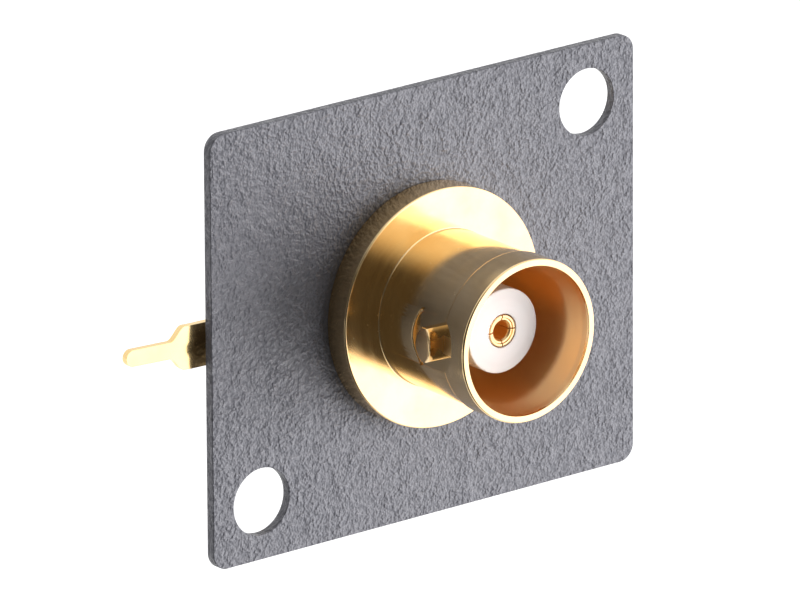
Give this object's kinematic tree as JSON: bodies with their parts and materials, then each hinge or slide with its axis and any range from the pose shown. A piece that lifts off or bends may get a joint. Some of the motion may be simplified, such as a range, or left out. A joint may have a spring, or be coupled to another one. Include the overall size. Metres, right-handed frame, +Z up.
{
  "type": "bnc panel jack",
  "caption": "Panel-mount coaxial bayonet socket, gold plated, clamped by its flange and nut in a small textured rectangular plate with two screw holes and a solder tag.",
  "frame": {"origin": "on the connector's axis, in the plane of the plate's back face", "axes": "+X to the right seen from the mouth side, +Z up, the mouth faces -Y"},
  "size_m": [0.0361, 0.0227, 0.026],
  "materials": {
    "plate_coating": "fine wrinkle powder coat, dark grey",
    "gold_plating": "bright gold plating on turned brass",
    "tag_plating": "gold plating on stamped brass sheet",
    "nut_plating": "gold plating, turned",
    "ptfe": "white, waxy, slightly translucent"
  },
  "bodies": {
    "root": {"panel_plate": "plate_coating", "connector_body": "gold_plating", "front_dielectric": "ptfe", "centre_contact": "gold_plating", "rear_insulator": "ptfe", "lock_washer": "nut_plating", "ground_tag": "tag_plating", "hex_nut": "nut_plating"}
  },
  "joints": []
}
